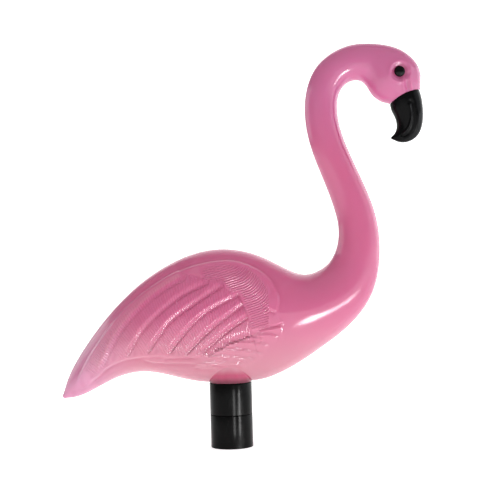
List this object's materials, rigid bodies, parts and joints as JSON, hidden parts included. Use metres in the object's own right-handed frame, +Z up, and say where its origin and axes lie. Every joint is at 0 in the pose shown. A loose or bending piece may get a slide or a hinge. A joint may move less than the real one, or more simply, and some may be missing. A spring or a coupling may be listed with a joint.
{
  "type": "flamingo garden light",
  "caption": "Translucent flamingo lamp body on a black two-part collar whose open foot fits over a ground stake.",
  "frame": {"origin": "centre of the pole collar's open foot, where a ground stake goes in", "axes": "+Z up along the collar, +X the way the bird faces, +Y to the bird's left"},
  "size_m": [0.2431, 0.0598, 0.264],
  "materials": {
    "pink_plastic": "moulded translucent pink plastic, glossy",
    "beak_black": "moulded black plastic, satin",
    "eye_black": "polished black bead",
    "collar_black": "moulded black plastic, semi-gloss"
  },
  "bodies": {
    "root": {"flamingo": "pink_plastic", "beak": "beak_black", "eye_right": "eye_black", "eye_left": "eye_black", "lamp_collar": "collar_black", "pole_collar": "collar_black"}
  },
  "joints": []
}
